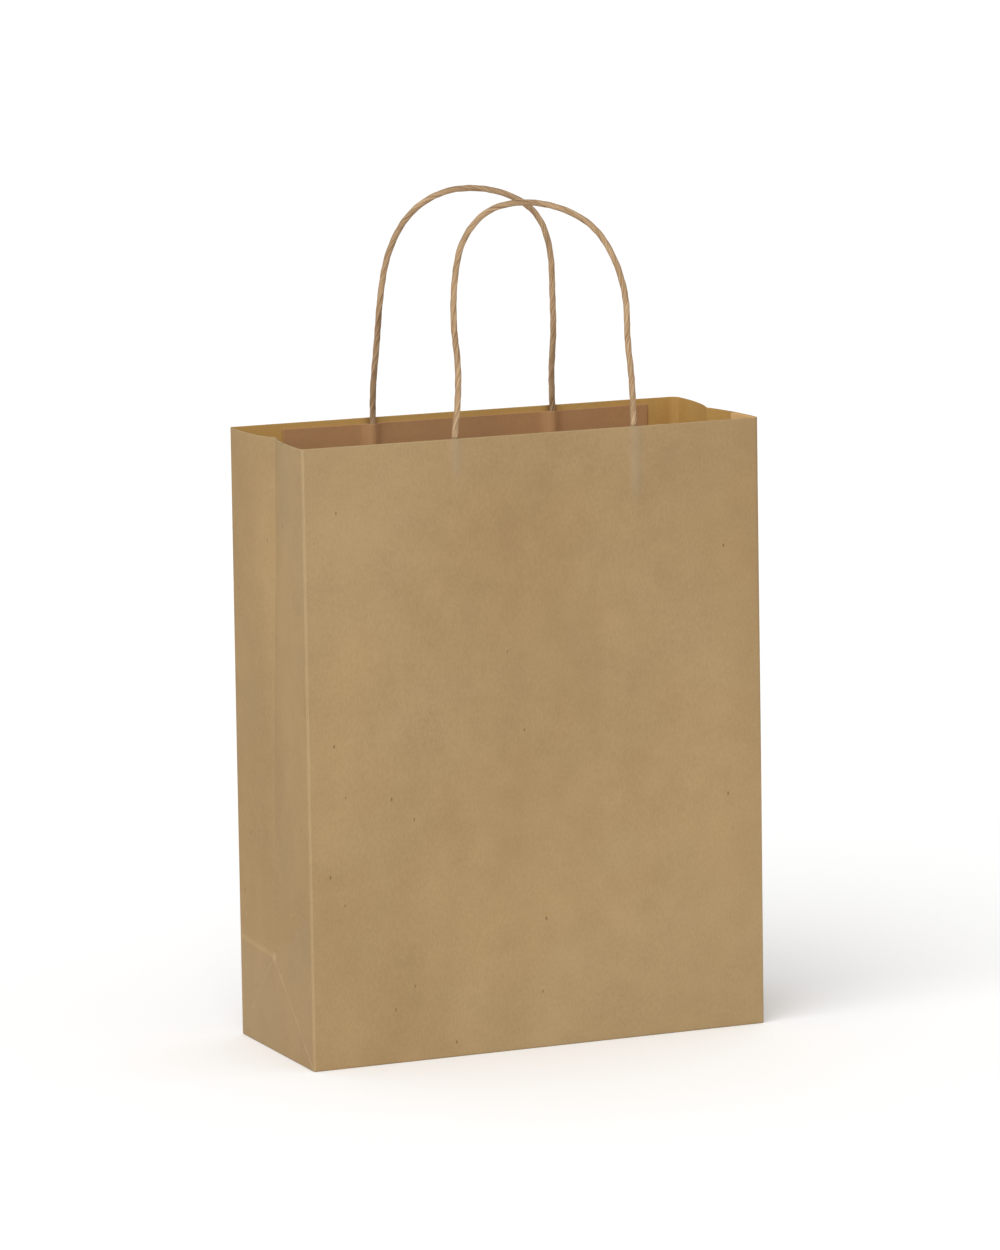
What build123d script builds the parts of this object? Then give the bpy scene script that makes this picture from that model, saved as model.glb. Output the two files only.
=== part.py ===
"""Brown paper carrier bag with two twisted paper cord handles.

One folded and glued sheet makes the walls and the block bottom. It is split at its creases into
panels, so that every wall is a piece of its own. Each handle is one cord: its two flattened ends are
glued between the two plies of a patch inside a broad wall, and the loop between them swings.

Millimetres, +Z up. The origin is at the middle of the base, on the surface that the bag stands on.
+X runs along the broad walls, and -Y points out of the front wall.
"""

from build123d import *
import math
import os

os.makedirs("parts", exist_ok=True)

# The standing bag
bag_width = 250.0
bag_depth = 100.0
bag_height = 315.0
paper = 0.16

# Creases of the narrow walls
foot_height = 50.0  # where the centre crease ends above the base
crease_inset = 6.0  # how far the centre crease stands in at the rim

# Glued joins of the sheet
seam_lap_width = 28.0
base_overlap = 15.0  # how far each base flap runs past the middle
tuck_reach = 58.0  # how far each side tuck runs in, past the corner where the flaps cross
tuck_end_width = 30.0

# Handle patches
patch_width = 204.0
patch_height = 36.0
patch_drop = 3.0  # rim to the top edge of a patch
glue_gap = 0.05  # between a cord end and the ply that is pressed over it

# Cord of the handles
cord_radius = 1.6
rim_gap = 0.1  # between the cord and the wall beside it
pressed_width = 3.6  # a cord end between its plies
cord_end_reach = 28.0  # how far a cord end runs down inside its patch
flex_gap = 0.3  # between the fixed end of a cord and the ball where its loop starts
rim_clearance = 0.6  # between the rim and a loop swung right out

# Each route lies in the plane of its loop: across the bag, then up from the flex line.
# lean is the angle between that plane and the upright, towards the inside of the bag.
handles = {
    "front": {
        "outward": -1,
        "lean": 10.0,
        "patch_centre": 7.0,
        "route": [
            (-42.3, 0.0),
            (-39.4, 12.0),
            (-36.9, 33.0),
            (-38.0, 55.0),
            (-35.3, 78.0),
            (-29.5, 97.0),
            (-15.0, 111.0),
            (4.0, 114.4),
            (24.5, 110.8),
            (43.0, 100.6),
            (53.4, 83.2),
            (58.0, 62.6),
            (56.2, 42.0),
            (57.1, 21.0),
            (55.9, 0.0),
        ],
    },
    "back": {
        "outward": 1,
        "lean": 8.0,
        "patch_centre": 6.0,
        "route": [
            (-47.0, 0.0),
            (-47.4, 15.0),
            (-46.0, 38.0),
            (-45.4, 60.0),
            (-42.4, 84.0),
            (-32.0, 104.0),
            (-14.0, 115.0),
            (7.5, 116.0),
            (28.0, 109.9),
            (42.4, 98.6),
            (49.3, 79.6),
            (50.8, 58.0),
            (52.6, 37.0),
            (52.0, 17.0),
            (53.4, 0.0),
        ],
    },
}

half_width = bag_width / 2
half_depth = bag_depth / 2
front_fold_level = paper  # top of the front base flap
back_fold_level = 2 * paper  # top of the back base flap, which laps over it
tuck_level = 3 * paper  # top of the side tucks
patch_top = bag_height - patch_drop
cord_from_wall = paper + cord_radius + rim_gap  # outside of a broad wall to the cord's middle
pressed_thickness = 2 * (cord_from_wall - 2 * paper)
pressed_round = 0.45 * pressed_thickness
flex_height = bag_height + cord_radius + rim_clearance


def write(piece, node):
    """Label one finished piece and write its STEP file."""
    piece.part.label = node
    export_step(piece.part, f"parts/{node}.step")


def broad_wall(node, outward, bottom):
    """A front or back wall, from its bottom fold to the rim."""
    with BuildPart() as wall:
        with BuildSketch(Plane.XY.offset(bottom)):
            with Locations((0, outward * (half_depth - paper / 2))):
                Rectangle(bag_width, paper)
        extrude(amount=bag_height - bottom)
    write(wall, node)


def leaning_ply(side, end, layer, near, far):
    """One ply of a half wall above the foot: flat up to the corner, and flat again up to the foot.

    side is -1 for the left wall and 1 for the right one, end is -1 for its front half and 1 for its rear
    half, and layer counts the plies from the outside. near and far are distances from the centre crease.
    The two flats stand in by crease_inset where they meet, at the top of the centre crease.
    """
    back = half_width - 2 * crease_inset  # a plane further in than any part of the wall
    rise = bag_height - foot_height
    fall_to_corner = crease_inset / (half_depth - paper)
    fall_to_foot = crease_inset / rise

    with BuildPart() as ply:
        for skin, spare, mode in ((layer, 0, Mode.ADD), (layer + 1, 1, Mode.SUBTRACT)):
            crease = half_width - skin * paper - crease_inset
            start, stop = near - spare, far + spare
            bottom, top = foot_height - spare, bag_height + spare
            with BuildSketch(Plane.XY.offset(bottom)):
                with BuildLine():
                    Polyline(
                        (side * (crease + fall_to_corner * start), end * start),
                        (side * (crease + fall_to_corner * stop), end * stop),
                        (side * (back - spare), end * stop),
                        (side * (back - spare), end * start),
                        close=True,
                    )
                make_face()
            extrude(amount=top - bottom, mode=mode)
            with BuildSketch(Plane.XZ.offset(-max(end * start, end * stop))):
                with BuildLine():
                    Polyline(
                        (side * (crease + fall_to_foot * (rise + spare)), bottom),
                        (side * (crease - fall_to_foot * spare), top),
                        (side * (back - spare), top),
                        (side * (back - spare), bottom),
                        close=True,
                    )
                make_face()
            extrude(amount=stop - start, mode=mode)
    return ply


def gusset_half(node, side, end):
    """Half of a narrow wall, from a broad wall to the centre crease."""
    write(leaning_ply(side, end, 0, 0, half_depth - paper), node)


def gusset_foot(node, side):
    """The flat foot of a narrow wall, between the base and the end of the centre crease."""
    with BuildPart() as foot:
        with BuildSketch(Plane.XY.offset(tuck_level)):
            with Locations((side * (half_width - paper / 2), 0)):
                Rectangle(paper, bag_depth - 2 * paper)
        extrude(amount=foot_height - tuck_level)
    write(foot, node)


def side_seam_lap():
    """The edge of the sheet, glued inside the right wall beside the front corner."""
    corner = half_depth - paper
    upper = leaning_ply(1, -1, 1, corner - seam_lap_width, corner)
    with BuildPart() as lap:
        add(upper)
        with BuildSketch(Plane.XY.offset(tuck_level)):
            with Locations((half_width - 1.5 * paper, seam_lap_width / 2 - corner)):
                Rectangle(paper, seam_lap_width)
        extrude(amount=foot_height - tuck_level)
    write(lap, "side_seam_lap")


def base_tuck(node, side):
    """A side tuck of the block bottom, innermost of its three layers, narrower at its free end."""
    edge = half_depth - paper
    outer = side * half_width
    inner = side * (half_width - tuck_reach)
    with BuildPart() as tuck:
        with BuildSketch(Plane.XY.offset(back_fold_level)):
            with BuildLine():
                Polyline(
                    (outer, -edge),
                    (inner, -tuck_end_width / 2),
                    (inner, tuck_end_width / 2),
                    (outer, edge),
                    close=True,
                )
            make_face()
        extrude(amount=paper)
    write(tuck, node)


def base_flap(node, outward, bottom):
    """A broad flap of the block bottom, folded in past the middle, its sides folded at 45 degrees."""
    reach = half_depth + base_overlap
    with BuildPart() as flap:
        with BuildSketch(Plane.XY.offset(bottom)):
            with BuildLine():
                Polyline(
                    (-half_width, outward * half_depth),
                    (half_width, outward * half_depth),
                    (half_width - reach, -outward * base_overlap),
                    (reach - half_width, -outward * base_overlap),
                    close=True,
                )
            make_face()
        extrude(amount=paper)
    write(flap, node)


def patch_outer_ply(node, outward, centre):
    """The ply of a handle patch that is glued to the wall."""
    with BuildPart() as ply:
        with BuildSketch(Plane.XY.offset(patch_top - patch_height)):
            with Locations((centre, outward * (half_depth - 1.5 * paper))):
                Rectangle(patch_width, paper)
        extrude(amount=patch_height)
    write(ply, node)


def patch_inner_ply(node, outward, centre, leg_places):
    """The ply of a handle patch that faces the inside, pressed into a ridge over each cord end."""
    bed = half_depth - 2 * paper  # the face that it is glued to
    room_width = pressed_width + 2 * glue_gap
    room_thickness = pressed_thickness + 2 * glue_gap
    room_round = pressed_round + glue_gap
    with BuildPart() as ply:
        with BuildSketch(Plane.XY.offset(patch_top - patch_height)):
            with Locations((centre, outward * (bed - paper / 2))):
                Rectangle(patch_width, paper)
            with Locations(*leg_places):
                RectangleRounded(room_width + 2 * paper, room_thickness + 2 * paper, room_round + paper)
            with Locations(*leg_places):
                RectangleRounded(room_width, room_thickness, room_round, mode=Mode.SUBTRACT)
            with Locations((centre, outward * (bed + pressed_thickness / 2))):
                Rectangle(patch_width, pressed_thickness, mode=Mode.SUBTRACT)
        extrude(amount=patch_height)
    write(ply, node)


def handle_ends(node, leg_places):
    """The two ends of one cord: pressed between the plies, then round up to the flex line."""
    bottom = patch_top - cord_end_reach
    fixed_top = flex_height - cord_radius - flex_gap
    with BuildPart() as ends:
        with BuildSketch(Plane.XY.offset(bottom)):
            with Locations(*leg_places):
                RectangleRounded(pressed_width, pressed_thickness, pressed_round)
        extrude(amount=cord_end_reach)
        with BuildSketch(Plane.XY.offset(patch_top)):
            with Locations(*leg_places):
                Circle(cord_radius)
        extrude(amount=fixed_top - patch_top)
    write(ends, node)


def turn_radii(route):
    """The radius of each arc of a route: as large as the two runs beside it allow."""
    points = [Vector(*point) for point in route]
    radii = []
    for before, here, after in zip(points, points[1:], points[2:]):
        run_in = here - before
        run_out = after - here
        turn = run_in.get_angle(run_out)
        shorter = min(run_in.length, run_out.length)
        radii.append(0.45 * shorter / math.tan(math.radians(turn) / 2))
    return radii


def handle_loop(node, outward, lean, route):
    """The part of one cord that swings, from the ball at one flex point to the ball at the other."""
    slope = math.radians(lean)
    loop_plane = Plane(
        origin=(0, outward * (half_depth - cord_from_wall), flex_height),
        x_dir=(1, 0, 0),
        z_dir=(0, -math.cos(slope), -outward * math.sin(slope)),
    )
    radii = turn_radii(route)
    with BuildPart() as loop:
        with BuildLine(loop_plane) as path:
            FilletPolyline(*route, radius=radii)
        cord_path = path.wire()
        with BuildSketch(Plane(origin=cord_path @ 0, z_dir=cord_path % 0)):
            Circle(cord_radius)
        sweep(path=cord_path)
        tube_volume = loop.part.volume
        with Locations(cord_path @ 0, cord_path @ 1):
            Sphere(cord_radius)
    write(loop, node)
    length = cord_path.length
    section = math.pi * cord_radius**2
    print(node, "arc radii", [round(radius, 1) for radius in radii])
    print(node, f"length {length:.1f}, volume over section times length {tube_volume / section / length:.5f}")


# The sheet: walls, seam and block bottom
broad_wall("front_panel", -1, front_fold_level)
broad_wall("back_panel", 1, back_fold_level)
for wall_name, wall_side in (("left", -1), ("right", 1)):
    gusset_half(f"{wall_name}_gusset_front", wall_side, -1)
    gusset_half(f"{wall_name}_gusset_rear", wall_side, 1)
    gusset_foot(f"{wall_name}_gusset_foot", wall_side)
    base_tuck(f"base_{wall_name}_tuck", wall_side)
side_seam_lap()
base_flap("base_front_flap", -1, 0)
base_flap("base_back_flap", 1, front_fold_level)

# The handles
for name, handle in handles.items():
    side = handle["outward"]
    cord_line = side * (half_depth - cord_from_wall)
    legs = [(handle["route"][0][0], cord_line), (handle["route"][-1][0], cord_line)]
    patch_outer_ply(f"{name}_patch_outer_ply", side, handle["patch_centre"])
    patch_inner_ply(f"{name}_patch_inner_ply", side, handle["patch_centre"], legs)
    handle_ends(f"{name}_handle_ends", legs)
    handle_loop(f"{name}_handle_loop", side, handle["lean"], handle["route"])
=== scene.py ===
import math

import bpy
from mathutils import Matrix, Vector, noise


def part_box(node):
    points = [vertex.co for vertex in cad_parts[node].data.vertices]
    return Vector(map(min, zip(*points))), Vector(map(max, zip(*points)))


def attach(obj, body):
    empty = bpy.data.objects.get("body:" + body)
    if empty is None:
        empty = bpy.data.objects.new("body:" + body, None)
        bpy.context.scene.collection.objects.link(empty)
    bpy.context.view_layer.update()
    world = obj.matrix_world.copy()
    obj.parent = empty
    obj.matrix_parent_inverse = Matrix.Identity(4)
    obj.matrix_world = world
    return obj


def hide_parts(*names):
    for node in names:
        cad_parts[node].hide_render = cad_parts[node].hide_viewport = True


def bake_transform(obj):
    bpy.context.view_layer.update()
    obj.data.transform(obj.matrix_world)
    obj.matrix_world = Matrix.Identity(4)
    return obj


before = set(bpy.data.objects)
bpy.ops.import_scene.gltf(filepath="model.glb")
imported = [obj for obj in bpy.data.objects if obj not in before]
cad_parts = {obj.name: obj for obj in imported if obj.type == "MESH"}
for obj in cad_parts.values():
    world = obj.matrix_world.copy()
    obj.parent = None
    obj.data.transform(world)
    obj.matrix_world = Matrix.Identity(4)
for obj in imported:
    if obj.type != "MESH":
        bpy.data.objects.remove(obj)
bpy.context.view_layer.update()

# The standing place of the camera. It looks down a little at the left side and the front of the bag
# through a long lens, so that upright creases stay nearly parallel.
look_at = Vector((0.0015, 0.0, 0.2105))
camera_distance = 3.389
turned_right = math.radians(23.15)
looking_down = math.radians(9.04)
roll = math.radians(-0.887)

camera_data = bpy.data.cameras.new("studio_camera")
camera_data.lens = 191.1
camera_data.sensor_width = 36.0
camera_data.clip_end = 100.0
camera = bpy.data.objects.new("studio_camera", camera_data)
bpy.context.scene.collection.objects.link(camera)
ahead = Vector((
    math.sin(turned_right) * math.cos(looking_down),
    math.cos(turned_right) * math.cos(looking_down),
    -math.sin(looking_down),
))
level_right = Vector((math.cos(turned_right), -math.sin(turned_right), 0.0))
level_up = level_right.cross(ahead)
camera_right = level_right * math.cos(roll) + level_up * math.sin(roll)
camera_up = level_up * math.cos(roll) - level_right * math.sin(roll)
camera.matrix_world = Matrix.LocRotScale(
    look_at - ahead * camera_distance,
    Matrix((camera_right, camera_up, -ahead)).transposed(),
    None,
)
bpy.context.scene.camera = camera


# Handles: each is one strip of brown paper twisted tight into a cord and bent into a loop. Its two ends
# are pressed between the plies of a patch inside a broad wall, and it flexes where it passes the rim.
def link_piece(name, mesh):
    """A new piece of the object, with its place in its mesh."""
    piece = bpy.data.objects.new(name, mesh)
    bpy.context.scene.collection.objects.link(piece)
    return piece


class Nodes:
    """A short way to place and join the nodes of one tree."""

    def __init__(self, tree):
        self.tree = tree

    def add(self, kind, settings=None, **inputs):
        node = self.tree.nodes.new(kind)
        for key, value in (settings or {}).items():
            setattr(node, key, value)
        for key, value in inputs.items():
            self.feed(node, key, value)
        return node

    def feed(self, node, key, value):
        """Set or join an input, named in words (From_Min) or by its number (i0)."""
        if key[0] == "i" and key[1:].isdigit():
            socket = node.inputs[int(key[1:])]
        else:
            words = key.replace("_", " ")
            socket = next(s for s in node.inputs if s.name == words and s.enabled)
        self.join(socket, value)

    def join(self, socket, value):
        """Give a socket another one's output, or a plain value."""
        if isinstance(value, bpy.types.NodeSocket):
            self.tree.links.new(value, socket)
        else:
            socket.default_value = value

    def math(self, operation, a, b=0.0, c=0.0):
        node = self.add("ShaderNodeMath", {"operation": operation}, i0=a, i1=b, i2=c)
        return node.outputs[0]


def size_input(tree, name, default):
    """A named size of a Geometry Nodes tree."""
    socket = tree.interface.new_socket(name, in_out="INPUT", socket_type="NodeSocketFloat")
    socket.default_value = default


def twisted_cord_tree(material):
    """Geometry Nodes: sweep a lobed profile along the line, turning as it goes, as a twisted strip lies."""
    tree = bpy.data.node_groups.new("twisted_paper_cord", "GeometryNodeTree")
    tree.interface.new_socket("Geometry", in_out="INPUT", socket_type="NodeSocketGeometry")
    size_input(tree, "Cord radius", 0.0016)
    size_input(tree, "Twist pitch", 0.02)
    size_input(tree, "Lobe depth", 0.08)
    size_input(tree, "Unevenness", 0.07)
    size_input(tree, "Seed", 0.0)
    tree.interface.new_socket("Geometry", in_out="OUTPUT", socket_type="NodeSocketGeometry")
    n = Nodes(tree)
    given = n.add("NodeGroupInput")
    radius, pitch, depth, uneven, seed = given.outputs[1:6]

    line = n.add("GeometryNodeMeshToCurve", Mesh=given.outputs[0])
    even_line = n.add("GeometryNodeResampleCurve", {"mode": "LENGTH"}, Curve=line.outputs[0], Length=0.0011)
    along = n.add("GeometryNodeSplineParameter").outputs["Length"]
    turns = n.math("MULTIPLY", n.math("DIVIDE", along, pitch), 2 * math.pi)
    wander = n.add(
        "ShaderNodeTexNoise", {"noise_dimensions": "1D"},
        W=n.math("ADD", n.math("MULTIPLY", along, 55.0), seed), Scale=1.0, Detail=2.0,
    ).outputs[0]
    slack = n.math("MULTIPLY", n.math("SUBTRACT", wander, 0.5), 2.2)
    tilted = n.add("GeometryNodeSetCurveTilt", Curve=even_line.outputs[0], Tilt=n.math("ADD", turns, slack))
    swell = n.add(
        "ShaderNodeTexNoise", {"noise_dimensions": "1D"},
        W=n.math("ADD", n.math("MULTIPLY", along, 140.0), n.math("ADD", seed, 31.0)), Scale=1.0, Detail=1.0,
    ).outputs[0]
    change = n.math("MULTIPLY", n.math("SUBTRACT", swell, 0.5), n.math("MULTIPLY", uneven, 2.0))
    width = n.math("ADD", 1.0, change)
    sized = n.add("GeometryNodeSetCurveRadius", Curve=tilted.outputs[0], Radius=width)
    kept_along = n.add("GeometryNodeCaptureAttribute", {"domain": "POINT"})
    kept_along.capture_items.new("FLOAT", "along")
    n.feed(kept_along, "i0", sized.outputs[0])
    n.feed(kept_along, "i1", along)

    ring = n.add("GeometryNodeCurvePrimitiveCircle", {"mode": "RADIUS"}, Resolution=44, Radius=radius)
    around = n.add("GeometryNodeSplineParameter").outputs["Factor"]
    angle = n.math("MULTIPLY", around, 2 * math.pi)
    broad_folds = n.math("SINE", n.math("MULTIPLY", angle, 3.0))
    small_folds = n.math("SINE", n.math("ADD", n.math("MULTIPLY", angle, 7.0), 1.3))
    folds = n.math("ADD", broad_folds, n.math("MULTIPLY", small_folds, 0.35))
    lobe = n.math("ADD", n.math("SUBTRACT", 1.0, n.math("MULTIPLY", depth, 0.6)),
                  n.math("MULTIPLY", folds, n.math("MULTIPLY", depth, 0.5)))
    spot = n.add("GeometryNodeInputPosition").outputs[0]
    pushed = n.add("ShaderNodeVectorMath", {"operation": "SCALE"}, Vector=spot, Scale=lobe)
    profile = n.add("GeometryNodeSetPosition", Geometry=ring.outputs[0], Position=pushed.outputs[0])
    kept_around = n.add("GeometryNodeCaptureAttribute", {"domain": "POINT"})
    kept_around.capture_items.new("FLOAT", "around")
    n.feed(kept_around, "i0", profile.outputs[0])
    n.feed(kept_around, "i1", around)

    cord = n.add("GeometryNodeCurveToMesh", Curve=kept_along.outputs[0], Profile_Curve=kept_around.outputs[0],
                 Scale=width, Fill_Caps=True)
    named = cord.outputs[0]
    for name, value in (("cord_along", kept_along.outputs[1]), ("cord_around", kept_around.outputs[1])):
        store = n.add("GeometryNodeStoreNamedAttribute", {"data_type": "FLOAT", "domain": "POINT"},
                      Geometry=named, Name=name, Value=value)
        named = store.outputs[0]
    smooth = n.add("GeometryNodeSetShadeSmooth", Geometry=named)
    real = n.add("GeometryNodeRealizeInstances", Geometry=smooth.outputs[0])
    finished = n.add("GeometryNodeSetMaterial", Geometry=real.outputs[0], Material=material)
    n.add("NodeGroupOutput", i0=finished.outputs[0])
    return tree


def twisted_paper():
    """Matt brown paper, with the fine light and dark lines of a strip that is twisted on itself."""
    material = bpy.data.materials.new("twisted_paper")
    material.use_nodes = True
    n = Nodes(material.node_tree)
    shader = material.node_tree.nodes["Principled BSDF"]
    shader.inputs["Roughness"].default_value = 0.72
    shader.inputs["Specular IOR Level"].default_value = 0.3
    along = n.add("ShaderNodeAttribute", {"attribute_name": "cord_along"}).outputs["Fac"]
    around = n.add("ShaderNodeAttribute", {"attribute_name": "cord_around"}).outputs["Fac"]
    angle = n.math("MULTIPLY", around, 2 * math.pi)
    # A point on the rolled strip: the ring around the cord, and a slow travel along it
    rolled = n.add(
        "ShaderNodeCombineXYZ", X=n.math("MULTIPLY", n.math("COSINE", angle), 1.6),
        Y=n.math("MULTIPLY", n.math("SINE", angle), 1.6), Z=n.math("MULTIPLY", along, 34.0),
    ).outputs[0]
    lines = n.add("ShaderNodeTexNoise", Vector=rolled, Scale=1.7, Detail=4.0, Roughness=0.6).outputs[0]
    fine = n.add("ShaderNodeTexNoise", Vector=rolled, Scale=6.0, Detail=3.0, Roughness=0.6).outputs[0]
    place = n.add("ShaderNodeTexCoord").outputs["Object"]
    patchy = n.add("ShaderNodeTexNoise", Vector=place, Scale=70.0, Detail=2.0).outputs[0]
    shade = n.math("ADD", n.math("MULTIPLY", lines, 0.6),
                   n.math("ADD", n.math("MULTIPLY", fine, 0.25), n.math("MULTIPLY", patchy, 0.15)))
    ramp = n.add("ShaderNodeValToRGB", Fac=shade)
    stops = ramp.color_ramp.elements
    dark, light = stops
    dark.position = 0.38
    dark.color = (0.135, 0.070, 0.030, 1)
    light.position = 0.62
    light.color = (0.48, 0.335, 0.195, 1)
    middle = stops.new(0.49)
    middle.color = (0.325, 0.208, 0.112, 1)
    n.join(shader.inputs["Base Color"], ramp.outputs[0])
    relief = n.math("ADD", n.math("MULTIPLY", lines, 0.7), n.math("MULTIPLY", fine, 0.3))
    bump = n.add("ShaderNodeBump", Height=relief, Strength=0.8, Distance=0.0003)
    n.join(shader.inputs["Normal"], bump.outputs[0])
    return material


cord_radius = 0.0016
lobe_allowance = 1.04  # the folds of the twist take back this much of the radius
rim_height = round(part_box("front_panel")[1][2], 6)
flex_height = rim_height + 0.0022  # of the axis on which a handle swings
cord_line = 0.04814  # from the middle of the bag to each cord
pressed_end = rim_height - 0.031  # where each cord ends, inside its patch
pressed_middle = rim_height - 0.014
handles = {
    "front": {
        "inward": 1,
        "lean": math.radians(10),
        "seed": 3.0,
        "route": [
            (-0.0423, 0.0), (-0.0394, 0.0120), (-0.0369, 0.0330), (-0.0380, 0.0550), (-0.0353, 0.0780),
            (-0.0295, 0.0970), (-0.0150, 0.1110), (0.0040, 0.1144), (0.0245, 0.1108), (0.0430, 0.1006),
            (0.0534, 0.0832), (0.0580, 0.0626), (0.0562, 0.0420), (0.0571, 0.0210), (0.0559, 0.0),
        ],
    },
    "back": {
        "inward": -1,
        "lean": math.radians(8),
        "seed": 17.0,
        "route": [
            (-0.0470, 0.0), (-0.0474, 0.0150), (-0.0460, 0.0380), (-0.0454, 0.0600), (-0.0424, 0.0840),
            (-0.0320, 0.1040), (-0.0140, 0.1150), (0.0075, 0.1160), (0.0280, 0.1099), (0.0424, 0.0986),
            (0.0493, 0.0796), (0.0508, 0.0580), (0.0526, 0.0370), (0.0520, 0.0170), (0.0534, 0.0),
        ],
    },
}


def leg_places(handle_name):
    """Where along the bag the two ends of a handle stand."""
    route = handles[handle_name]["route"]
    return route[0][0], route[-1][0]


def cord_route(handle):
    """The cord's points from one pressed end, up past the rim, round the loop and down to the other."""
    wall = -handle["inward"] * cord_line
    rise, drift = math.cos(handle["lean"]), handle["inward"] * math.sin(handle["lean"])
    loop = [(x, wall + t * drift, flex_height + t * rise) for x, t in handle["route"]]
    down = [pressed_end, pressed_middle]
    first = [(loop[0][0], wall, z) for z in down]
    last = [(loop[-1][0], wall, z) for z in reversed(down)]
    return first + loop + last


def spline_points(name, points):
    """The smooth line of a NURBS spline on these points."""
    curve = bpy.data.curves.new(name, "CURVE")
    curve.dimensions = "3D"
    curve.resolution_u = 16
    spline = curve.splines.new("NURBS")
    spline.points.add(len(points) - 1)
    for point, place in zip(spline.points, points):
        point.co = (*place, 1.0)
    spline.order_u = 3
    spline.use_endpoint_u = True
    holder = bpy.data.objects.new(name, curve)
    bpy.context.scene.collection.objects.link(holder)
    bpy.context.view_layer.update()
    mesh = bpy.data.meshes.new_from_object(holder.evaluated_get(bpy.context.evaluated_depsgraph_get()))
    line = [vertex.co.copy() for vertex in mesh.vertices]
    bpy.data.objects.remove(holder)
    bpy.data.curves.remove(curve)
    bpy.data.meshes.remove(mesh)
    return line


def run_nodes(name, mesh, tree, values):
    """Run a Geometry Nodes tree on a mesh and keep the result as a plain mesh on a piece of its own."""
    source = link_piece(name + "_source", mesh)
    modifier = source.modifiers.new("Build", "NODES")
    modifier.node_group = tree
    for item in tree.interface.items_tree:
        if item.in_out == "INPUT" and item.name in values:
            modifier[item.identifier] = values[item.name]
    bpy.context.view_layer.update()
    result = bpy.data.meshes.new_from_object(source.evaluated_get(bpy.context.evaluated_depsgraph_get()))
    source.modifiers.remove(modifier)
    bpy.data.objects.remove(source)
    bpy.data.meshes.remove(mesh)
    result.name = name
    return link_piece(name, result)


cord_material = twisted_paper()
cord_tree = twisted_cord_tree(cord_material)
for name, handle in handles.items():
    line = spline_points(f"{name}_cord_line", cord_route(handle))
    thread = bpy.data.meshes.new(f"{name}_cord_thread")
    thread.from_pydata(line, [(i, i + 1) for i in range(len(line) - 1)], [])
    cord = run_nodes(
        f"{name}_cord", thread, cord_tree,
        {
            "Cord radius": lobe_allowance * cord_radius, "Twist pitch": 0.029, "Lobe depth": 0.08,
            "Unevenness": 0.05, "Seed": handle["seed"],
        },
    )
    wall = -handle["inward"] * cord_line
    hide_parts(f"{name}_handle_loop", f"{name}_handle_ends")
    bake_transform(cord)


# The sheet: one piece of brown paper, glued into a tube at the side seam. It makes both broad walls and
# both narrow ones. The folds are rounded a little, and each narrow wall has a crease down its middle.
half_width = 0.125
half_depth = 0.050
paper = 0.0003  # the sheet's thickness
fold_radius = 0.0010  # of the upright folds, low down
mouth_radius = {"front_left": 0.0013, "front_right": 0.0024, "back_right": 0.0045, "back_left": 0.0022}
bottom_round = 0.0008
foot_height = 0.050
crease_inset = 0.006
seam_width = 0.028
seam_edge = seam_width - half_depth  # where the glued strip ends on the right narrow wall
seam_shadow_line = seam_edge + 0.0012  # the painted shadow of its cut edge, beside it


def bottom_crease(n, place):
    """How near a point of a narrow wall's foot is to the two diagonals from the apex to the corners."""
    across = n.add("ShaderNodeSeparateXYZ", Vector=place)
    off = n.math("ABSOLUTE", n.math("SUBTRACT", n.math("ADD", n.math("ABSOLUTE", across.outputs["Y"]),
                                                      across.outputs["Z"]), foot_height))
    near = n.add(
        "ShaderNodeMapRange", {"interpolation_type": "SMOOTHSTEP"},
        Value=off, From_Min=0.0003, From_Max=0.0011, To_Min=1.0, To_Max=0.0,
    ).outputs[0]
    on_side = n.math("GREATER_THAN", n.math("ABSOLUTE", across.outputs["X"]), half_width - fold_radius)
    in_front = n.math("LESS_THAN", across.outputs["Y"], 0.0)
    strength = n.math("ADD", 0.22, n.math("MULTIPLY", in_front, 0.4))
    broken = n.add("ShaderNodeTexNoise", Vector=place, Scale=110.0, Detail=2.0).outputs[0]
    worn = n.add("ShaderNodeMapRange", Value=broken, From_Min=0.35, From_Max=0.6, To_Min=0.25).outputs[0]
    return n.math("MULTIPLY", n.math("MULTIPLY", near, on_side), n.math("MULTIPLY", strength, worn))


def coat(n, under, over, share, how="MIX"):
    """Lay one colour over another. share is how much of it shows, and how is the way they mix."""
    mix = n.add("ShaderNodeMix", {"data_type": "RGBA", "blend_type": how}, i0=share)
    colours = [socket for socket in mix.inputs if socket.type == "RGBA"]
    n.join(colours[0], under)
    n.join(colours[1], over)
    return next(socket for socket in mix.outputs if socket.type == "RGBA")


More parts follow.
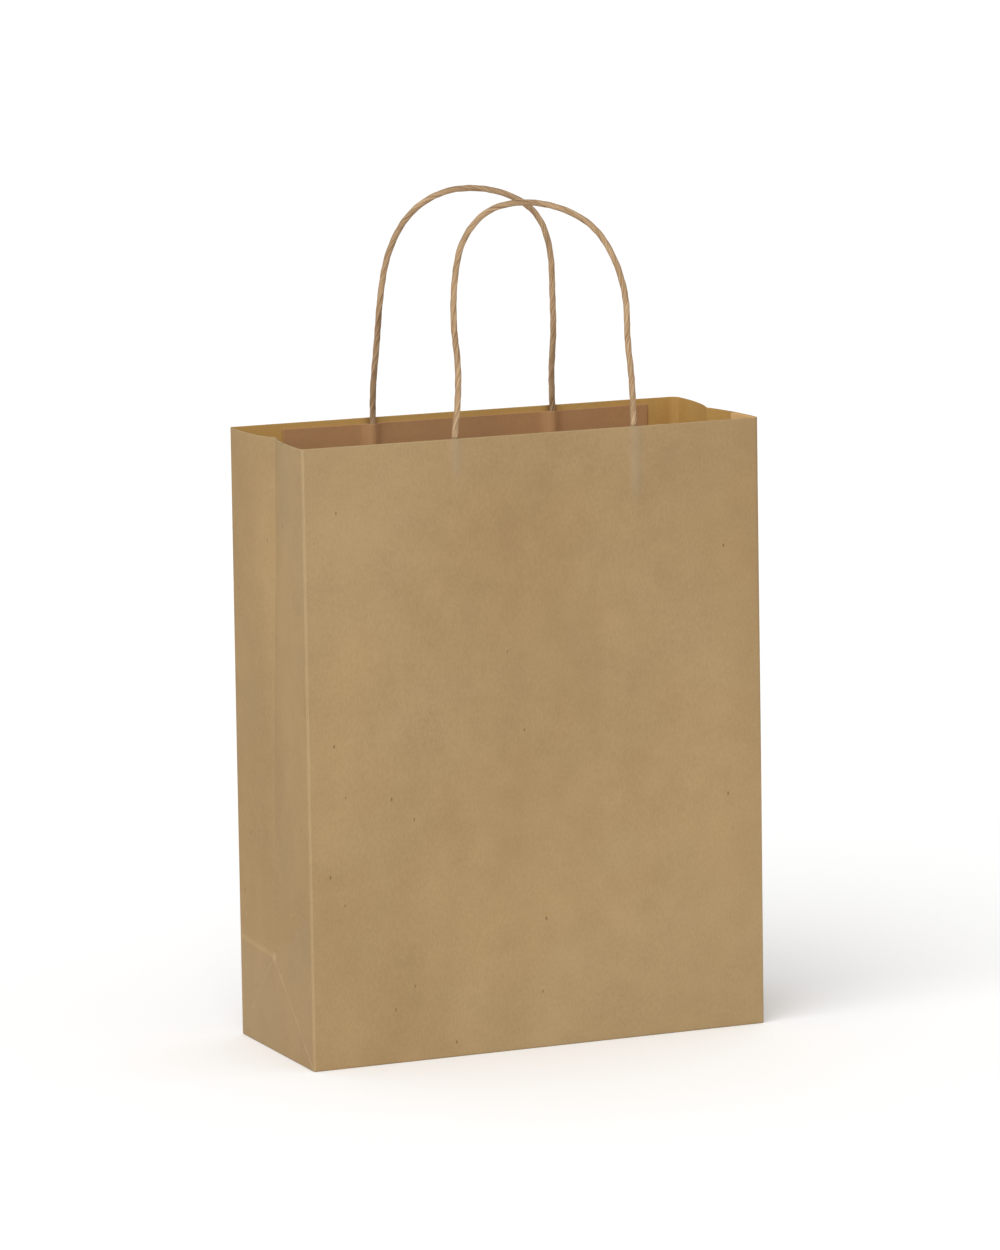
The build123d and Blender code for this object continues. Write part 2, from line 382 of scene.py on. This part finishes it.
def kraft_paper(name, light, dark, pressed_tone):
    """Brown paper: cloudy tone, fine fibres, a few dark flecks and pale folds, and a darker tone laid on
    where a cord is pressed against it, which also serves as painted shade and as a painted shadow."""
    material = bpy.data.materials.new(name)
    material.use_nodes = True
    n = Nodes(material.node_tree)
    shader = material.node_tree.nodes["Principled BSDF"]
    shader.inputs["Specular IOR Level"].default_value = 0.03
    place = n.add("ShaderNodeTexCoord").outputs["Object"]
    stretch = n.add("ShaderNodeMapping", Vector=place)
    stretch.inputs["Scale"].default_value = (1.0, 1.0, 0.55)
    upright = stretch.outputs[0]
    clouds = n.add("ShaderNodeTexNoise", Vector=upright, Scale=9.0, Detail=3.0, Roughness=0.55).outputs[0]
    spots = n.add("ShaderNodeTexNoise", Vector=place, Scale=70.0, Detail=4.0, Roughness=0.6).outputs[0]
    grain = n.add("ShaderNodeTexNoise", Vector=upright, Scale=900.0, Detail=3.0, Roughness=0.6).outputs[0]
    tone = n.math("ADD", n.math("MULTIPLY", clouds, 0.47),
                  n.math("ADD", n.math("MULTIPLY", spots, 0.23), n.math("MULTIPLY", grain, 0.30)))
    spread = n.add("ShaderNodeMapRange", Value=tone, From_Min=0.36, From_Max=0.64)
    tint = coat(n, (*dark, 1), (*light, 1), spread.outputs[0])

    # A second cloud shifts the hue between a warmer and a greyer brown
    hue_cloud = n.add("ShaderNodeTexNoise", Vector=place, Scale=11.0, Detail=3.0).outputs[0]
    hue_range = n.add("ShaderNodeMapRange", Value=hue_cloud, From_Min=0.42, From_Max=0.62)
    tint = coat(n, tint, (0.96, 1.0, 1.03, 1), hue_range.outputs[0], "MULTIPLY")

    # Short dark fibres, most of them lying upright
    lay = n.add("ShaderNodeMapping", Vector=place)
    lay.inputs["Scale"].default_value = (1.0, 1.0, 0.42)
    lay.inputs["Rotation"].default_value = (0.25, 0.15, 0.0)
    flecks = n.add("ShaderNodeTexVoronoi", {"feature": "F1"}, Vector=lay.outputs[0], Scale=90.0)
    near = n.add("ShaderNodeMapRange", Value=flecks.outputs["Distance"],
                 From_Min=0.020, From_Max=0.050, To_Min=1.0, To_Max=0.0)
    draw = n.add("ShaderNodeSeparateColor", Color=flecks.outputs["Color"]).outputs[0]
    chosen = n.math("LESS_THAN", draw, 0.9)
    fleck = n.math("MULTIPLY", n.math("MULTIPLY", near.outputs[0], chosen), 0.75)
    tint = coat(n, tint, (0.09, 0.05, 0.025, 1), fleck)

    # Where the paper was folded its fibres are broken and paler; the darker tone is pressed marks and painted
    # shade
    edge = n.add("ShaderNodeAttribute", {"attribute_name": "folded"}).outputs["Fac"]
    fold = n.math("MAXIMUM", edge, bottom_crease(n, place))
    tint = coat(n, tint, (0.60, 0.46, 0.27, 1), n.math("MULTIPLY", fold, 0.42))
    pressed = n.add("ShaderNodeAttribute", {"attribute_name": "pressed"}).outputs["Fac"]
    tint = coat(n, tint, (*pressed_tone, 1), n.math("MULTIPLY", pressed, 0.45))
    n.join(shader.inputs["Base Color"], tint)

    rough = n.add("ShaderNodeMapRange", Value=spots, From_Min=0.3, From_Max=0.7, To_Min=0.6, To_Max=0.74)
    n.join(shader.inputs["Roughness"], rough.outputs[0])
    fibres = n.add("ShaderNodeTexNoise", Vector=upright, Scale=420.0, Detail=4.0, Roughness=0.65).outputs[0]
    relief = n.math("ADD", n.math("MULTIPLY", fibres, 0.6), n.math("MULTIPLY", grain, 0.4))
    bump = n.add("ShaderNodeBump", Height=relief, Strength=0.35, Distance=0.00012)
    n.join(shader.inputs["Normal"], bump.outputs[0])
    return material


def smoothstep(low, high, value):
    """A smooth rise from 0 at low to 1 at high."""
    t = min(max((value - low) / (high - low), 0.0), 1.0)
    return t * t * (3 - 2 * t)


def even_steps(start, end, step):
    """Values from start to end, about a step apart, both ends included."""
    count = max(1, round(abs(end - start) / step))
    return [start + (end - start) * i / count for i in range(count + 1)]


def fine_steps(start, end, step, marks, close, reach):
    """Even steps, with closer ones around each mark."""
    values = even_steps(start, end, step)[1:-1]
    for mark in marks:
        values += even_steps(mark - reach, mark + reach, close)
    nearest = 0.0003
    kept = [start]
    for value in sorted(values):
        if value - kept[-1] > nearest and end - value > nearest:
            kept.append(value)
    return kept + [end]


def tube_stations():
    """Where the tube is measured around: (wall, place along the wall), front wall first. The places are
    closest where a cord lies, at the folds, at a crease and at the painted shadow beside the seam's edge."""
    edge_x, edge_y = half_width - fold_radius, half_depth - fold_radius
    by_fold = 0.002
    broad_ends = [by_fold - edge_x, edge_x - by_fold]
    narrow_ends = [by_fold - edge_y, edge_y - by_fold]
    broad = fine_steps(-edge_x, edge_x, 0.0035, [*leg_places("front"), *broad_ends], 0.0008, 0.005)
    back_broad = fine_steps(-edge_x, edge_x, 0.0035, [*leg_places("back"), *broad_ends], 0.0008, 0.005)
    narrow = fine_steps(-edge_y, edge_y, 0.0027, [0.0, seam_shadow_line, *narrow_ends], 0.0004, 0.003)
    corner = [0.07, 0.14, 0.21, 0.4, 0.6, 0.79, 0.86, 0.93]  # shares of the way round a fold
    stations = [("front", x) for x in broad] + [("front_right", t) for t in corner]
    stations += [("right", y) for y in narrow] + [("back_right", t) for t in corner]
    stations += [("back", x) for x in reversed(back_broad)] + [("back_left", t) for t in corner]
    stations += [("left", -y) for y in narrow] + [("front_left", t) for t in corner]
    return stations


def crease_profile(side, y, z):
    """How far a narrow wall stands in at this place: most at the middle of the rim, nothing at its foot."""
    up = (z - foot_height) / (rim_height - foot_height)
    height = smoothstep(0.0, 1.0, up) * 0.35
    height += 0.65 * max(0.0, up)
    sharpness = {("left", True): 4.2, ("left", False): 2.5, ("right", True): 2.9, ("right", False): 2.4}
    power = sharpness[(side, y > 0)]
    blunt = math.sqrt(y * y + 0.0003 ** 2) - 0.0003
    return crease_inset * height * max(0.0, 1 - blunt / half_depth) ** power


def ridge(distance, width):
    """1 on a line and nearly 0 at twice the width from it."""
    return math.exp(-((distance / width) ** 2))


def wall_relief(wall, u, z):
    """Outward swell of a wall, u being the place along it: the bow of the paper, soft waves, and the
    creases at the foot of a narrow wall."""
    half = half_width if wall in ("front", "back") else half_depth
    across = max(0.0, 1 - (abs(u) / half) ** 2)
    up = max(0.0, min(1.0, z / 0.03)) * (1 - 0.55 * smoothstep(0.2, rim_height, z))
    offset = {"front": 0.0, "right": 7.3, "back": 13.1, "left": 23.7}[wall]
    waves = noise.fractal(Vector((u * 16 + offset, z * 13, offset)), 0.6, 2.0, 3)
    bow, wave_height = 0.0009, 0.00055
    swell = bow * across * up + wave_height * waves * min(1.0, across * 2.5) * smoothstep(0, 0.03, z)
    if wall in ("left", "right"):
        swell *= 0.8
        # The creases of the foot: two diagonals from the apex to the corners, and a level line
        diagonal = abs(abs(u) + z - foot_height) / math.sqrt(2)
        if z < foot_height + 0.004:
            swell += 0.0003 * ridge(diagonal, 0.0012) * smoothstep(0.0, 0.006, z)
        if z < foot_height - 0.001:
            swell += 0.0008 * max(0.0, 1 - abs(u) / (foot_height - z)) * smoothstep(0, 0.02, z)
        level = ridge(z - foot_height, 0.0013) * smoothstep(0.008, 0.014, u if wall == "left" else abs(u))
        swell += 0.00015 * level
    return swell


def crease_paleness(u, z):
    """How pale a narrow wall is from folding, from 0 to 1: at its crease, its apex and its level line."""
    pale = 0.15 * ridge(u, 0.0006) * smoothstep(foot_height, 0.12, z)
    pale = max(pale, 0.7 * ridge(math.hypot(u, z - foot_height), 0.0018))
    if u > 0.002:
        pale = max(pale, 0.3 * ridge(z - foot_height - 0.05 * u, 0.0012))
    return pale


def upright_fold(corner, turned, z, tucked):
    """A point of an upright fold, or None beside it. turned is how far round the sheet it is from the
    middle of the fold, and tucked is how far the bottom fold has brought the sheet in at this height."""
    opening = smoothstep(0.10, rim_height, z)
    radius = fold_radius + (mouth_radius[corner] - fold_radius) * opening
    reach = math.pi * fold_radius / 4 + radius - fold_radius
    if abs(turned) >= reach:
        return None
    angle = math.pi / 4 * (1 + turned / reach)
    end, side = corner.split("_")
    inner = radius - tucked
    x = half_width - radius + inner * math.sin(angle)
    y = half_depth - radius + inner * math.cos(angle)
    return (x if side == "right" else -x), (y if end == "back" else -y), z


def tube_point(wall, u, z):
    """The outside of the tube at one station and height, with how folded it is there and how much of the
    darker tone it takes: pressed marks, painted shade and a painted shadow.
    """
    tucked = 0.0
    if z < bottom_round:
        tucked = bottom_round - math.sqrt(bottom_round ** 2 - (bottom_round - z) ** 2)
    edge_pale = 0.3 * smoothstep(rim_height - 0.0006, rim_height - 0.0002, z)
    arc_half = math.pi * fold_radius / 4
    if "_" in wall:
        around = u if wall in ("front_right", "back_left") else 1 - u
        point = upright_fold(wall, arc_half * (2 * around - 1), z, tucked)
        lines = max(ridge(u - 0.14, 0.07), ridge(u - 0.86, 0.07))
        # The middle of each rounded upright fold is greyed: painted shade that takes back the fold's
        # highlight.
        return point, max(0.55 * lines, edge_pale), 0.5 * ridge(u - 0.5, 0.25)
    if wall in ("front", "back"):
        beside = half_width - fold_radius - abs(u)
        fold = upright_fold(f"{wall}_{'right' if u > 0 else 'left'}", -arc_half - beside, z, tucked)
        if fold:
            return fold, edge_pale, 0.0
        pressed = 0.0
        dent_depths = (0.024, 0.040)  # how far below the rim the two cord ends show through
        for depth, leg in zip(dent_depths, leg_places(wall)):
            reach = smoothstep(rim_height - depth, rim_height - depth + 0.012, z)
            # The cord ends' dents are greyed: partly pressed paper, partly painted shade of their relief.
            pressed = max(pressed, ridge(u - leg, 0.0028) * reach)
        out = half_depth - tucked + wall_relief(wall, u, z) + 0.00045 * pressed
        return (u, -out if wall == "front" else out, z), edge_pale, pressed
    beside = half_depth - fold_radius - abs(u)
    fold = upright_fold(f"{'back' if u > 0 else 'front'}_{wall}", arc_half + beside, z, tucked)
    if fold:
        return fold, edge_pale, 0.0
    out = half_width - tucked - crease_profile(wall, u, z) + wall_relief(wall, u, z)
    pressed = 0.35 * (1 - smoothstep(foot_height - 0.002, foot_height + 0.001, z + 0.6 * min(u, 0.0)))
    # A painted shadow of the seam strip's cut edge, on the wall just behind it.
    if wall == "right":
        pressed = max(pressed, 1.3 * ridge(u - seam_shadow_line, 0.0013))
    return (-out if wall == "left" else out, u, z), max(crease_paleness(u, z), edge_pale), pressed


def grid_faces(columns, rows, closed):
    """Quads of a grid whose points run along each row; a closed grid joins its last column to its first."""
    last = columns if closed else columns - 1
    for row in range(rows - 1):
        for column in range(last):
            right = (column + 1) % columns
            yield (row * columns + column, row * columns + right,
                   (row + 1) * columns + right, (row + 1) * columns + column)


def paper_piece(name, points, faces, folded, pressed, finishes, thickness):
    """A piece of paper: a mesh with its thickness inward, smooth, and its folded and pressed places kept.
    finishes is the look of its outside, and after it that of its inside where that differs."""
    mesh = bpy.data.meshes.new(name)
    mesh.from_pydata(points, [], list(faces))
    for label, values in (("folded", folded), ("pressed", pressed)):
        attribute = mesh.attributes.new(label, "FLOAT", "POINT")
        attribute.data.foreach_set("value", values)
    mesh.shade_smooth()
    piece = link_piece(name, mesh)
    for finish in finishes:
        piece.data.materials.append(finish)
    wall = piece.modifiers.new("Thickness", "SOLIDIFY")
    wall.material_offset = len(finishes) - 1
    wall.thickness = thickness
    wall.offset = -1.0
    wall.use_rim = True
    return piece


# The grey of pressed paper, also laid on as painted shade.
grey_mark_and_shade = (0.290, 0.222, 0.150)
# A dark brown: the painted shadow beside the seam's edge, and the pressed marks and painted shade inside.
dark_mark_and_shadow = (0.150, 0.075, 0.025)
sheet_paper = kraft_paper(
    "kraft_sheet", light=(0.350, 0.236, 0.118), dark=(0.272, 0.180, 0.087), pressed_tone=grey_mark_and_shade,
)
# The inside of the sheet: the same paper painted brighter and more orange, as painted light for the light
# that shines through the paper.
inside_painted_light = kraft_paper(
    "kraft_inside_painted_light", light=(0.560, 0.335, 0.112), dark=(0.480, 0.280, 0.088), pressed_tone=dark_mark_and_shadow,
)
stations = tube_stations()
levels = [bottom_round * share for share in (0.0, 0.08, 0.3, 0.6, 1.0)]
levels += fine_steps(0.002, rim_height, 0.0034, [foot_height], 0.0012, 0.004)
levels[-1:] = [rim_height - 0.0007, rim_height - 0.0002, rim_height]  # the pale cut edge
points, folded, pressed = [], [], []
for z in levels:
    for wall, u in stations:
        point, pale, press = tube_point(wall, u, z)
        points.append(point)
        folded.append(pale)
        pressed.append(press)
sheet = paper_piece(
    "kraft_sheet", points, grid_faces(len(stations), len(levels), True), folded, pressed,
    [sheet_paper, inside_painted_light], paper,
)
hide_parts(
    "front_panel", "back_panel", "left_gusset_front", "left_gusset_rear", "left_gusset_foot",
    "right_gusset_front", "right_gusset_rear", "right_gusset_foot",
)
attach(sheet, "bag")


# The side seam: the last strip of the sheet, folded round the right front corner and glued inside the
# narrow wall. Near the rim its cut edge stands off a little, where the glue stops short of it.
seam_steps = fine_steps(fold_radius - half_depth, seam_edge, 0.0028, [seam_edge - 0.003], 0.0005, 0.003)
seam_top = rim_height - 0.0004
seam_levels = fine_steps(0.0012, seam_top, 0.0045, [seam_top - 0.0005], 0.001, 0.0)
gap = 0.00004  # from the wall that it is glued to
points, folded, pressed = [], [], []
for z in seam_levels:
    for y in seam_steps:
        point = tube_point("right", y, z)[0]
        lift = 0.0009 * smoothstep(seam_edge - 0.006, seam_edge, y) * smoothstep(0.22, rim_height, z)
        points.append((point[0] - paper - gap - lift, point[1], z))
        folded.append(0.3 * smoothstep(seam_edge - 0.0012, seam_edge, y))
        pressed.append(0.0)
# The strip's paper is painted much lighter: painted light for the sun that falls on it inside the mouth.
strip_painted_light = kraft_paper(
    "kraft_strip_painted_light", light=(0.740, 0.475, 0.215), dark=(0.640, 0.400, 0.170), pressed_tone=dark_mark_and_shadow,
)
seam = paper_piece(
    "side_seam", points, grid_faces(len(seam_steps), len(seam_levels), False), folded, pressed,
    [strip_painted_light], paper,
)
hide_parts("side_seam_lap")
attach(seam, "bag")


# The block bottom: the side tucks are folded in first, then the back flap and the front flap, and all are
# glued. The bag stands on the front flap, the outermost of them.
def bottom_ply(name, node, outline, bottom, top):
    """One flat ply of the bottom, cut to its outline, with its edges just eased."""
    # The outline is taken anticlockwise, so that all the faces point outwards
    twice_area = sum(a[0] * b[1] - b[0] * a[1] for a, b in zip(outline, outline[1:] + outline[:1]))
    if twice_area < 0:
        outline = outline[::-1]
    count = len(outline)
    points = [(x, y, z) for z in (bottom, top) for x, y in outline]
    faces = [tuple(reversed(range(count))), tuple(range(count, 2 * count))]
    faces += [(i, (i + 1) % count, (i + 1) % count + count, i + count) for i in range(count)]
    mesh = bpy.data.meshes.new(name)
    mesh.from_pydata(points, [], faces)
    for label in ("folded", "pressed"):
        mesh.attributes.new(label, "FLOAT", "POINT")
    piece = link_piece(name, mesh)
    piece.data.materials.append(sheet_paper)
    soften = piece.modifiers.new("Soft edge", "BEVEL")
    soften.width = 0.00004
    soften.segments = 1
    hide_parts(node)
    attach(piece, "bag")


inner_edge = 0.0009  # the plies end inside the rounded folds
edge_x = half_width - inner_edge
edge_y = half_depth - inner_edge
overlap = 0.015  # of each flap past the middle, and half the width of a tuck's end
flap_end = edge_x - edge_y - overlap
for name, outward in (("front", -1), ("back", 1)):
    node = f"base_{name}_flap"
    low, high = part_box(node)
    bottom_ply(f"bottom_{name}_flap", node, [
        (-edge_x, outward * edge_y), (edge_x, outward * edge_y),
        (flap_end, -outward * overlap), (-flap_end, -outward * overlap),
    ], low[2], high[2])
for name, side in (("left", -1), ("right", 1)):
    node = f"base_{name}_tuck"
    low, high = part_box(node)
    inner = half_width - (high[0] - low[0])
    bottom_ply(f"bottom_{name}_tuck", node, [
        (side * edge_x, -edge_y), (side * inner, -overlap), (side * inner, overlap), (side * edge_x, edge_y),
    ], low[2], high[2])


# Handle patches: two strips of redder paper inside each broad wall. The cord's ends are glued
# between them, so that the inner strip is pressed into a ridge over each end.
patch_paper = kraft_paper(
    "patch_paper", light=(0.470, 0.256, 0.118), dark=(0.405, 0.218, 0.102), pressed_tone=grey_mark_and_shade,
)
ply = 0.0002  # the thickness of one strip
ridge_crown = cord_line - 0.00215  # where the inner ply passes over a cord


def patch_ply(name, node, handle_name, inner):
    """One ply of a patch. The inner one rises over the cord ends and falls flat below them."""
    handle = handles[handle_name]
    inward = handle["inward"]
    low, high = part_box(node)
    legs = leg_places(handle_name)
    columns = fine_steps(low[0], high[0], 0.004, legs, 0.0005, 0.0065)
    columns[1:1] = [low[0] + 0.0004]
    columns[-1:-1] = [high[0] - 0.0004]
    rows = fine_steps(low[2], high[2], 0.002, [low[2] + 0.0004, high[2] - 0.0004], 0.001, 0.0)
    face = half_depth - paper - 0.0001
    points, folded, pressed = [], [], []
    for z in rows:
        for x in columns:
            wave = 0.00012 * noise.noise(Vector((x * 70, z * 70, 5.0 * inward)))
            rise = 0.00008 + (ply + 0.00015 if inner else 0.0) + (wave if inner else 0.0)
            wall_y = abs(tube_point(handle_name, x, z)[0][1]) - half_depth
            place = face + wall_y - rise
            pale = 0.0
            if inner:
                held = smoothstep(pressed_end - 0.009, pressed_end - 0.0015, z)
                for leg in legs:
                    tent = math.exp(-((abs(x - leg) / 0.0038) ** 2.2))
                    place += (ridge_crown - place) * tent * held
                    pale = max(pale, 0.1 * ridge(abs(x - leg) - 0.0024, 0.0006) * held)
                edge = min(x - low[0], high[0] - x, z - low[2], high[2] - z)
                place -= 0.00008 * (1 - smoothstep(0.0, 0.0015, edge))
            points.append((x, -inward * place, z))
            folded.append(pale)
            pressed.append(0.0)
    faces = list(grid_faces(len(columns), len(rows), False))
    if inward > 0:
        faces = [tuple(reversed(f)) for f in faces]
    piece = paper_piece(name, points, faces, folded, pressed, [patch_paper], ply)
    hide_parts(node)
    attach(piece, "bag")


for handle_name in handles:
    patch_ply(f"{handle_name}_patch_outer", f"{handle_name}_patch_outer_ply", handle_name, False)
    patch_ply(f"{handle_name}_patch_inner", f"{handle_name}_patch_inner_ply", handle_name, True)


# The studio: a white floor that runs out of sight, an even white sky, one broad soft light from the front
# left, and a low narrow light in front that lifts the foot of the bag.
def studio_floor():
    mesh = bpy.data.meshes.new("studio_floor")
    reach = 40.0
    mesh.from_pydata([(-reach, -reach, 0), (reach, -reach, 0), (reach, reach, 0), (-reach, reach, 0)], [],
                     [(0, 1, 2, 3)])
    floor = link_piece("studio_floor", mesh)
    paint = bpy.data.materials.new("studio_white")
    paint.use_nodes = True
    shader = paint.node_tree.nodes["Principled BSDF"]
    shader.inputs["Base Color"].default_value = (0.95, 0.95, 0.95, 1)
    shader.inputs["Roughness"].default_value = 0.9
    shader.inputs["Specular IOR Level"].default_value = 0.1
    mesh.materials.append(paint)


def aimed_light(name, kind, power, place, towards, colour):
    data = bpy.data.lights.new(name, kind)
    data.energy = power
    data.color = colour
    light = bpy.data.objects.new(name, data)
    bpy.context.scene.collection.objects.link(light)
    light.location = place
    light.rotation_euler = (Vector(towards) - Vector(place)).to_track_quat("-Z", "Y").to_euler()
    return data


studio_floor()
sky = bpy.data.worlds.new("studio_sky")
sky.use_nodes = True
sky.node_tree.nodes["Background"].inputs["Color"].default_value = (1.0, 1.0, 1.0, 1)
sky.node_tree.nodes["Background"].inputs["Strength"].default_value = 0.77
bpy.context.scene.world = sky
key = aimed_light("key_light", "SUN", 1.7, (-1.7, -1.3, 1.9), (0, 0, 0.15), (1.0, 0.995, 0.985))
key.angle = math.radians(65)
card = aimed_light("low_card", "AREA", 1.5, (-0.35, -0.75, 0.04), (-0.02, 0, 0.03), (1.0, 1.0, 0.98))
card.shape = "RECTANGLE"
card.size, card.size_y = 0.8, 0.06
bpy.context.scene.view_settings.view_transform = "Standard"
bpy.context.scene.view_settings.look = "None"
